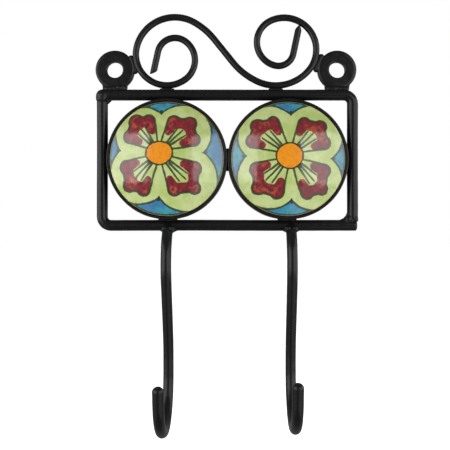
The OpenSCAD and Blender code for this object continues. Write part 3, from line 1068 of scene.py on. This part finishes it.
@dataclass(frozen=True)
class CeramicDiscs:
    """The domed discs, whose glaze lies a little proud along the painted lines."""

    dome_h: float = 6.2
    lip_r: float = 0.5
    ring_spacing: float = 0.36
    facets: int = 300
    line_relief: float = 0.035
    sway: float = 0.3
    dart_rim: float = 0.45

    def build(self, finishes: Finishes) -> None:
        """Makes both discs."""
        for side in Side:
            node = f"ceramic_disc_{side.value}"
            box = NodeBox.of(node)
            bm = self._shape(box)
            bm.verts.ensure_lookup_table()
            fields = self._paint(bm, box, FLOWERS[side])
            self._raise(bm, box, fields)
            hand_over(f"painted_disc_{side.value}", bm, finishes.glaze[side], node, fields)

    def _shape(self, box: NodeBox) -> BMesh:
        """Turns the dome, its lip, its edge and its back."""
        radius, back, crown = box.size.x / 2, -box.high.y, -box.low.y
        dome_r = (radius**2 + self.dome_h**2) / (2 * self.dome_h)
        rings = int(radius / self.ring_spacing)
        lip = radius - self.lip_r

        def out(r: float) -> float:
            return crown - dome_r + math.sqrt(dome_r**2 - r**2)

        dome = [(lip * k / rings, out(lip * k / rings)) for k in range(rings + 1)]
        edge = crown - self.dome_h
        turn = [
            (lip + self.lip_r * math.sin(a), out(lip) - (out(lip) - edge + self.lip_r) * (1 - math.cos(a)))
            for a in (math.radians(d) for d in (15, 30, 45, 60, 75, 90))
        ]
        wall = [(radius, back + 0.6), (radius - 0.6, back), (radius * 0.6, back), (0, back)]
        return lathe(dome + turn + wall, box.centre, self.facets)

    def _paint(self, bm: BMesh, box: NodeBox, flower: Flower) -> dict[str, np.ndarray]:
        """Works out how far each point of the disc is from every painted shape."""
        at = []
        for v in bm.verts:
            drift = noise.noise_vector(v.co * 0.16) * self.sway
            at.append((v.co.x - box.centre.x + drift.x, v.co.z - box.centre.z + drift.z))
        at = np.array(at)
        radius = np.array([math.hypot(v.co.x - box.centre.x, v.co.z - box.centre.z) for v in bm.verts])
        petal = vein = blush = np.full(len(at), FAR)
        for p in flower.petals:
            shape, red, lines = self._petal(at, p, flower.eye)
            petal, blush, vein = np.minimum(petal, shape), np.minimum(blush, red), np.minimum(vein, lines)
        for u, v in flower.points:
            apex, middle = Spot(u, v, 0.6), Spot(0.0, 0.0, 0.0)
            blot = capsule(at, apex.towards(middle, -1.2, 1.0), apex.towards(middle, 0.5, 0.4))
            vein = np.minimum(vein, blot)
        stretch = np.array((flower.eye_width, flower.eye.r))
        eye = (np.linalg.norm((at - (flower.eye.u, flower.eye.v)) / stretch, axis=1) - 1) * flower.eye.r
        rim = radius - box.size.x / 2
        darts = np.maximum(-self._ground(at, flower), rim + self.dart_rim)
        blush = np.maximum(blush, petal + 0.1)
        return {"petal": petal, "blush": blush, "vein": vein, "eye": eye, "dart": darts, "rim": rim}

    @staticmethod
    def _petal(at: np.ndarray, petal: Petal, eye: Spot) -> tuple[np.ndarray, np.ndarray, np.ndarray]:
        """Distances to a petal's outline, to its red edge and to its veins."""
        first, middle, last = petal.lobes
        shape = capsule(at, petal.root, petal.palm)
        drawn_out = middle.towards(petal.root, -middle.r * 0.7 - petal.tip, 0.3)
        red = capsule(at, middle.towards(petal.root, 2.2, 0.7), middle)
        red = melt(red, capsule(at, middle, drawn_out), 0.3)
        shape = melt(shape, capsule(at, middle, drawn_out), 0.3)
        for lobe in petal.lobes:
            shape = melt(shape, capsule(at, petal.root, lobe), 0.3)
            shape = melt(shape, capsule(at, petal.palm, lobe), 0.3)
        for lobe in (first, last):
            tail = lobe.towards(petal.root, 4.3, 0.6).towards(middle, -0.6, 1.0)
            web = capsule(at, lobe.towards(petal.root, 0.5, 0.82), middle.towards(petal.root, 0.5, 0.82))
            red = melt(melt(red, capsule(at, tail, lobe), 0.4), web, 0.4)
            shape = melt(shape, web, 0.4)
        lines = np.full(len(at), FAR)
        for near, far, reach in ((first, middle, 0.8), (middle, middle, 0.76), (middle, last, 0.8)):
            u, v = (near.u + far.u) / 2 - eye.u, (near.v + far.v) / 2 - eye.v
            start = Spot(eye.u + 0.3 * u, eye.v + 0.3 * v, 0.56)
            end = Spot(eye.u + reach * u, eye.v + reach * v, 0.36)
            lines = np.minimum(lines, capsule(at, start, end))
        return shape, red, lines

    @staticmethod
    def _ground(at: np.ndarray, flower: Flower) -> np.ndarray:
        """Distance outside the four scallops of the ground, each through two of its points."""
        ground = np.full(len(at), FAR)
        for i, swell in enumerate(flower.swell):
            a, b = np.array(flower.points[i]), np.array(flower.points[(i + 1) % 4])
            chord = b - a
            outward = np.array((-chord[1], chord[0])) / np.linalg.norm(chord)
            centre = (a + b) / 2 + outward * swell
            ground = np.minimum(ground, np.linalg.norm(at - centre, axis=1) - np.linalg.norm(a - centre))
        return ground

    def _raise(self, bm: BMesh, box: NodeBox, fields: dict[str, np.ndarray]) -> None:
        """Lifts the painted lines a little and lets the dome sway as hand-pressed clay does."""
        crown, line_reach, skin, slow = -box.low.y, 0.55, 0.1, 0.09
        edges = [np.abs(fields[key]) for key in ("petal", "dart", "eye")]
        line = np.minimum.reduce([*edges, np.maximum(fields["vein"], 0)])
        lift = self.line_relief * np.clip(1 - line / line_reach, 0, 1)
        for v, up in zip(bm.verts, lift):
            room = crown + v.co.y
            if -v.co.y > crown - self.dome_h - 0.2:
                rise = float(up) + 0.05 * (noise.noise(v.co * slow) - 0.5)
                v.co.y -= min(rise, room) if room < skin else rise


@dataclass(frozen=True)
class CoatHooks:
    """The two hooks: each a rod with a bow under the rail, a shank and an open seat."""

    places: FramePlaces
    hook_d: float = 4.7
    seat_r: float = 19.0
    seat_turn: float = 172.0
    tip_len: float = 4.7
    bow_r: float = 20.0
    bow_turn: float = 60.0
    bow_start: float = 0.5
    lean_r: float = 28.0
    lean_turn: float = 18.0
    ease_r: float = 50.0
    twist: float = 1.3
    drop: dict[Side, float] = field(default_factory=lambda: {Side.LEFT: 86.5, Side.RIGHT: 85.0})

    def build(self, finishes: Finishes) -> None:
        """Makes both hooks."""
        for side in Side:
            start = (self.places.rod_d / 2, self.places.bottom_z, self.bow_turn - 90)
            wire = WireSweep(start, self.hook_d, 36, 0.8)
            wire.follow(self._steps(side))
            wire.finish(End.DOMED)
            bmesh.ops.transform(wire.bm, matrix=self._stand(side), verts=wire.bm.verts)
            HandWork(sway=0.1, seed=12.0 + side.sign).apply(wire.bm)
            node = f"hook_{side.value}"
            hand_over(f"coat_{node}", wire.bm, finishes.rod, node)

    def root_x(self, side: Side) -> float:
        """Where a hook leaves the rail."""
        return NodeBox.of(f"hook_weld_{side.value}").centre.x

    def _stand(self, side: Side) -> Matrix:
        """The turn that stands a hook's drawing out from the wall, with its small twist."""
        twisted = Matrix.Rotation(math.radians(-90 - self.twist), 4, "Z")
        up = twisted @ Matrix.Rotation(math.radians(90), 4, "X")
        return Matrix.Translation((self.root_x(side), 0, 0)) @ up

    def _steps(self, side: Side) -> list[Step]:
        """The steps of one hook, whose straight stretches bring the shank back under the rail."""
        bow, lean = math.radians(self.bow_turn), math.radians(self.lean_turn)
        out = self.bow_start * math.sin(bow) + self.bow_r * (1 - math.cos(bow))
        lean_len = (out - (self.lean_r + self.ease_r) * (1 - math.cos(lean))) / math.sin(lean)
        bow_drop = self.bow_start * math.cos(bow) + self.bow_r * math.sin(bow)
        lean_drop = (self.lean_r + self.ease_r) * math.sin(lean) + lean_len * math.cos(lean)
        return [
            Straight(self.bow_start),
            Bend(self.bow_r, -self.bow_turn),
            Bend(self.lean_r, -self.lean_turn),
            Straight(lean_len),
            Bend(self.ease_r, self.lean_turn),
            Straight(self.drop[side] - bow_drop - lean_drop - self.seat_r),
            Bend(self.seat_r, self.seat_turn),
            Straight(self.tip_len),
        ]


@dataclass(frozen=True)
class WeldBeads:
    """All the weld metal, each bead melted from a run of drops."""

    places: FramePlaces
    hooks: CoatHooks

    def build(self, finishes: Finishes) -> None:
        """Makes every bead."""
        beads = {"corner_weld_top": self._corner_top(), "corner_weld_bottom": self._corner_bottom()}
        for side in Side:
            key = side.value
            beads[f"lug_rail_weld_{key}"] = self._lug_rail(side)
            beads[f"lug_scroll_weld_{key}"] = self._lug_scroll(side)
            beads[f"scroll_rail_weld_{key}"] = self._scroll_rail(side)
            beads[f"hook_weld_{key}"] = self._hook(side)
            beads[f"ring_weld_top_{key}"] = self._ring_rail(side, "top")
            beads[f"ring_weld_bottom_{key}"] = self._ring_rail(side, "bottom")
            beads[f"ring_weld_side_{key}"] = self._ring_side(side)
        beads["ring_weld_middle"] = self._ring_middle()
        for node, drops in beads.items():
            bm = fuse(drops)
            name = node.replace("weld", "bead")
            hand_over(name, bm, finishes.weld, node)

    def _corner_top(self) -> list[Drop]:
        """The ball on the top left corner, with a small fillet inside it."""
        p = self.places
        y = -p.rod_d / 2
        x, z = p.left_x, p.top_z
        ball = [
            Drop(x + 0.15, y, z - 0.5, 3.1),
            Drop(x + 0.5, y - 0.1, z - 0.3, 2.95),
            Drop(x, y - 0.1, z - 1.3, 2.95),
        ]
        return ball + drop_row((x + 2.2, y, z - 3.4), (x + 3.4, y, z - 2.2), 0.9, 4, 1.0)

    def _corner_bottom(self) -> list[Drop]:
        """The fillet in the bottom right corner and the seam across the joint."""
        p = self.places
        reach, r, first, sweep, last = 4.3, 1.5, -92, 94, 18
        inner_x, inner_z = p.right_x - p.rod_d / 2, p.bottom_z + p.rod_d / 2
        drops = []
        for k in range(last + 1):
            a = math.radians(first + sweep * k / last)
            x = inner_x - reach + (reach + r) * math.cos(a)
            z = inner_z + reach + (reach + r) * math.sin(a)
            drops.append(Drop(x, -p.rod_d / 2 - 0.2, z, r * (1 + 0.04 * math.sin(1.5 * k))))
            drops.append(Drop(x + 0.6, -p.rod_d / 2 - 0.8, z - 0.6, r))
        for y, up in ((-p.rod_d + 1.15, -0.3), (-p.rod_d + 1.15, 0.5), (-1.2, 0.1)):
            start, end = (inner_x, y, inner_z + up), (p.right_x + 1.3, y, inner_z + up + 0.2)
            drops += drop_row(start, end, 1.1, 13, 2.0 + up)
        return drops

    def _lug_rail(self, side: Side) -> list[Drop]:
        """The neck of weld that fills between a lug and the top rail."""
        lug = NodeBox.of(f"lug_{side.value}")
        x, r = lug.centre.x, lug.size.x / 2
        z = self.places.top_z + self.places.rod_d / 2
        drops = drop_row((x - 4.2, -2.0, z + 0.5), (x + 4.2, -2.0, z + 0.5), 1.35, 16, 3.0 * side.sign)
        drops += drop_row((x - 3.9, -3.1, z + 0.2), (x + 3.9, -3.1, z + 0.3), 1.1, 16, 5.0 * side.sign)
        if side is Side.LEFT:
            drops += [Drop(x + 1.8, -3.6, z + 0.7, 1.05), Drop(x + 3.8, -3.3, z + 0.7, 1.05)]
        for way in (-1, 1):
            for down, across, size in ((0.93, 4.7, 1.0), (0.85, 4.75, 0.95), (0.76, 5.1, 0.8)):
                drops.append(Drop(x + way * across, -1.8, -down * r, size))
        return drops

    def _lug_scroll(self, side: Side) -> list[Drop]:
        """The web of weld between a lug and the side of the scroll."""
        lug = NodeBox.of(f"lug_{side.value}").centre
        c = NodeBox.of(f"lug_scroll_weld_{side.value}").centre
        out = Vector((c.x - lug.x, 0, c.z - lug.z)).normalized()
        up = Vector((-out.z, 0, out.x)) * math.copysign(1, out.x)
        drops = []
        for k in range(-7, 8):
            spot = c + up * 0.42 * k - out * 0.005 * k * k
            drops.append(Drop(spot.x, -1.75, spot.z, 1.5))
        return drops

    def _scroll_rail(self, side: Side) -> list[Drop]:
        """The bead under a low point of the scroll."""
        c = NodeBox.of(f"scroll_rail_weld_{side.value}").centre
        z = self.places.top_z + self.places.rod_d / 2
        steps = range(-8, 9)
        drops = [Drop(c.x + 0.4 * k, -2.3, z + 0.05 + 0.004 * k**2, 0.62 - 0.005 * k**2) for k in steps]
        return drops + drop_row((c.x - 1.8, -3.0, z), (c.x + 1.8, -3.0, z), 0.6, 9, 9.0 * side.sign)

    def _hook(self, side: Side) -> list[Drop]:
        """The collar of weld round the top of a hook, with two proud beads at its sides."""
        p = self.places
        x = self.hooks.root_x(side)
        tilt = math.radians(self.hooks.bow_turn - 90 - 4)
        way, up = Vector((0, -math.cos(tilt), math.sin(tilt))), Vector((0, -math.sin(-tilt), math.cos(tilt)))
        root = Vector((x, -p.rod_d / 2, p.bottom_z)) + way * 2.6
        drops, last = [], 14
        for k in range(last + 1):
            a = math.radians(12 - 204 * k / last)
            spot = root + (Vector((1, 0, 0)) * math.cos(a) + up * math.sin(a)) * 2.2
            drops.append(Drop(spot.x, min(spot.y, -1.0), spot.z, 0.95 + 0.1 * math.sin(2.7 * k + side.sign)))
        blobs = ((1.5, 4.7, 1.5, 1.3), (1.7, 2.7, 2.1, 1.15), (2.5, 1.3, 2.1, 1.0), (3.2, 0.5, 2.1, 0.75))
        for way_x in (-1, 1):
            for aside, out, down, r in blobs:
                drops.append(Drop(x + way_x * aside, -p.rod_d / 2 - out, p.bottom_z - down, r))
        return drops

    def _ring_rail(self, side: Side, rail: str) -> list[Drop]:
        """The bead between a band and the rail above or below it."""
        band = NodeBox.of(f"ring_{side.value}")
        top = rail == "top"
        rail_z, way, half = (self.places.top_z, 1, 1.6) if top else (self.places.bottom_z, -1, 3.6)
        x, z = band.centre.x, rail_z - way * self.places.rod_d / 2
        first, second, third = (1.6, 0.8, 6, 11.0), (3.6, 0.75, 7, 13.0), (2.4, 0.8, 7, 14.0)
        drops = []
        for out, r, count, seed in (first,) if top else (first, second, third):
            drops += drop_row((x - half, -out, z), (x + half, -out, z), r, count, seed * side.sign)
        return drops

    def _ring_side(self, side: Side) -> list[Drop]:
        """The tack between a band and the upright beside it."""
        c = NodeBox.of(f"ring_weld_side_{side.value}").centre
        return drop_row((c.x, -1.7, c.z - 1.2), (c.x, -1.7, c.z + 1.2), 0.85, 4, 15.0 * side.sign)

    def _ring_middle(self) -> list[Drop]:
        """The bead that fills between the two bands."""
        box = NodeBox.of("ring_weld_middle")
        c, half = box.centre, box.size.z / 2 - 0.9
        return drop_row((c.x, c.y, c.z - half), (c.x, c.y, c.z + half), 1.1, 10, 17.0)


# ---------------------------------------------------------------- studio


@dataclass(frozen=True)
class SoftBox:
    """A soft rectangular light that fills a span of directions, in degrees, as seen from the discs."""

    name: str
    start: float
    end: float
    brightness: float
    middle_height: float = 5.7
    half_height: float = 21.0
    distance: float = 0.62
    tiers: tuple[Pair, ...] = ((0.2, 1.12), (0.25, 0.96), (0.25, 0.8), (0.3, 0.62))

    def place(self, target: Vector) -> None:
        """Adds stacked lights aimed at a target, which together fade towards the top and bottom."""
        turn, lift = math.radians((self.start + self.end) / 2), math.radians(self.middle_height)
        away = Vector((math.sin(turn) * math.cos(lift), -math.cos(turn) * math.cos(lift), math.sin(lift)))
        for share, height in self.tiers:
            data = bpy.data.lights.new(self.name, "AREA")
            data.shape = "RECTANGLE"
            data.size = 2 * self.distance * math.tan(math.radians(abs(self.end - self.start) / 2))
            data.size_y = 2 * self.distance * math.tan(math.radians(self.half_height * height))
            data.energy = self.brightness * share * math.pi * data.size * data.size_y
            light = bpy.data.objects.new(self.name, data)
            light.location = target + away * self.distance
            light.rotation_euler = away.to_track_quat("Z", "Y").to_euler()
            light.visible_camera = False
            bpy.context.scene.collection.objects.link(light)


@dataclass(frozen=True)
class Studio:
    """The pale floor, the lights and the camera."""

    floor_drop: float = 0.06
    floor_half: float = 4.0
    eye: Place = (-0.00045, -0.30245, -0.0698)
    field_width: float = 0.2025
    field_distance: float = 0.3
    room_light: float = 0.12
    wall_light: float = 0.2
    boxes: tuple[SoftBox, ...] = (
        SoftBox("left_front_box", -26.0, -47.0, 6.6),
        SoftBox("left_side_box", -47.0, -100.0, 6.4),
        SoftBox("left_low_box", -40.0, -90.0, 1.0, -36.0, 19.0),
        SoftBox("right_front_box", 21.0, 62.0, 5.8),
        SoftBox("right_side_box", 62.0, 118.0, 5.0),
        SoftBox("right_low_box", 25.0, 80.0, 1.8, -36.0, 19.0),
    )

    def build(self) -> None:
        """Sets the scene."""
        self._camera()
        self._floor()
        self._world()
        for box in self.boxes:
            box.place(Vector((0, -0.015, NodeBox.of("ring_left").centre.z * MM)))
        bpy.context.scene.view_settings.view_transform = "Standard"

    def _camera(self) -> None:
        """Places the camera squarely in front of the plate."""
        data = bpy.data.cameras.new("camera")
        data.sensor_width = 36.0
        data.lens = data.sensor_width * self.field_distance / self.field_width
        data.clip_start = 0.01
        camera = bpy.data.objects.new("camera", data)
        camera.location = self.eye
        camera.rotation_euler = (math.radians(90), 0, 0)
        bpy.context.scene.collection.objects.link(camera)
        bpy.context.scene.camera = camera

    def _floor(self) -> None:
        """Lays the floor below the plate."""
        bm = bmesh.new()
        bmesh.ops.create_grid(bm, x_segments=4, y_segments=4, size=self.floor_half)
        bmesh.ops.translate(bm, verts=bm.verts, vec=(0, 0, cad_box[0][2] - self.floor_drop))
        mesh = bpy.data.meshes.new("floor")
        bm.to_mesh(mesh)
        bm.free()
        material, sheet, shader = new_material("pale_floor")
        seen = sheet.add("ShaderNodeLightPath").outputs["Is Camera Ray"]
        sheet.feed(shader, {
            "Base Color": (0.85, 0.85, 0.85, 1),
            "Roughness": 0.9,
            "Emission Color": (1, 1, 1, 1),
            "Emission Strength": sheet.ramp(seen, 0.0, 1.0, (0.1, 1.0)),
        })
        mesh.materials.append(material)
        floor = bpy.data.objects.new("floor", mesh)
        floor.visible_glossy = False
        bpy.context.scene.collection.objects.link(floor)

    def _world(self) -> None:
        """A pale surround to the eye, whose light comes mostly from the wall behind the plate."""
        world = bpy.data.worlds.new("studio")
        bpy.context.scene.world = world
        world.use_nodes = True
        sheet = NodeSheet(world.node_tree)
        sheet.tree.nodes.clear()
        seen = sheet.add("ShaderNodeBackground", {"Color": (1, 1, 1, 1), "Strength": 1.0})
        way = sheet.add("ShaderNodeTexCoord").outputs["Generated"]
        depth = sheet.add("ShaderNodeSeparateXYZ", {"Vector": way}).outputs["Y"]
        share = sheet.ramp(depth, 0.05, 0.35, (self.room_light, self.wall_light))
        lit = sheet.add("ShaderNodeBackground", {"Color": (0.95, 0.97, 1, 1), "Strength": share})
        camera_ray = sheet.add("ShaderNodeLightPath").outputs["Is Camera Ray"]
        both = sheet.add("ShaderNodeMixShader", {0: camera_ray, 1: lit.outputs[0], 2: seen.outputs[0]})
        sheet.add("ShaderNodeOutputWorld", {"Surface": both.outputs[0]})


def main() -> None:
    """Builds every sub-assembly in order, then the studio."""
    logging.basicConfig(level=logging.INFO, format="%(name)s: %(message)s")
    noise.seed_set(NOISE_SEED)
    places = FramePlaces.read()
    finishes = Finishes.build()
    hooks = CoatHooks(places)
    for part in (
        RodFrame(places), ScrollWire(places), ScrewLugs(), DiscSettings(), CeramicDiscs(), hooks,
        WeldBeads(places, hooks),
    ):
        part.build(finishes)
    Studio().build()


if __name__ == "__main__":
    main()
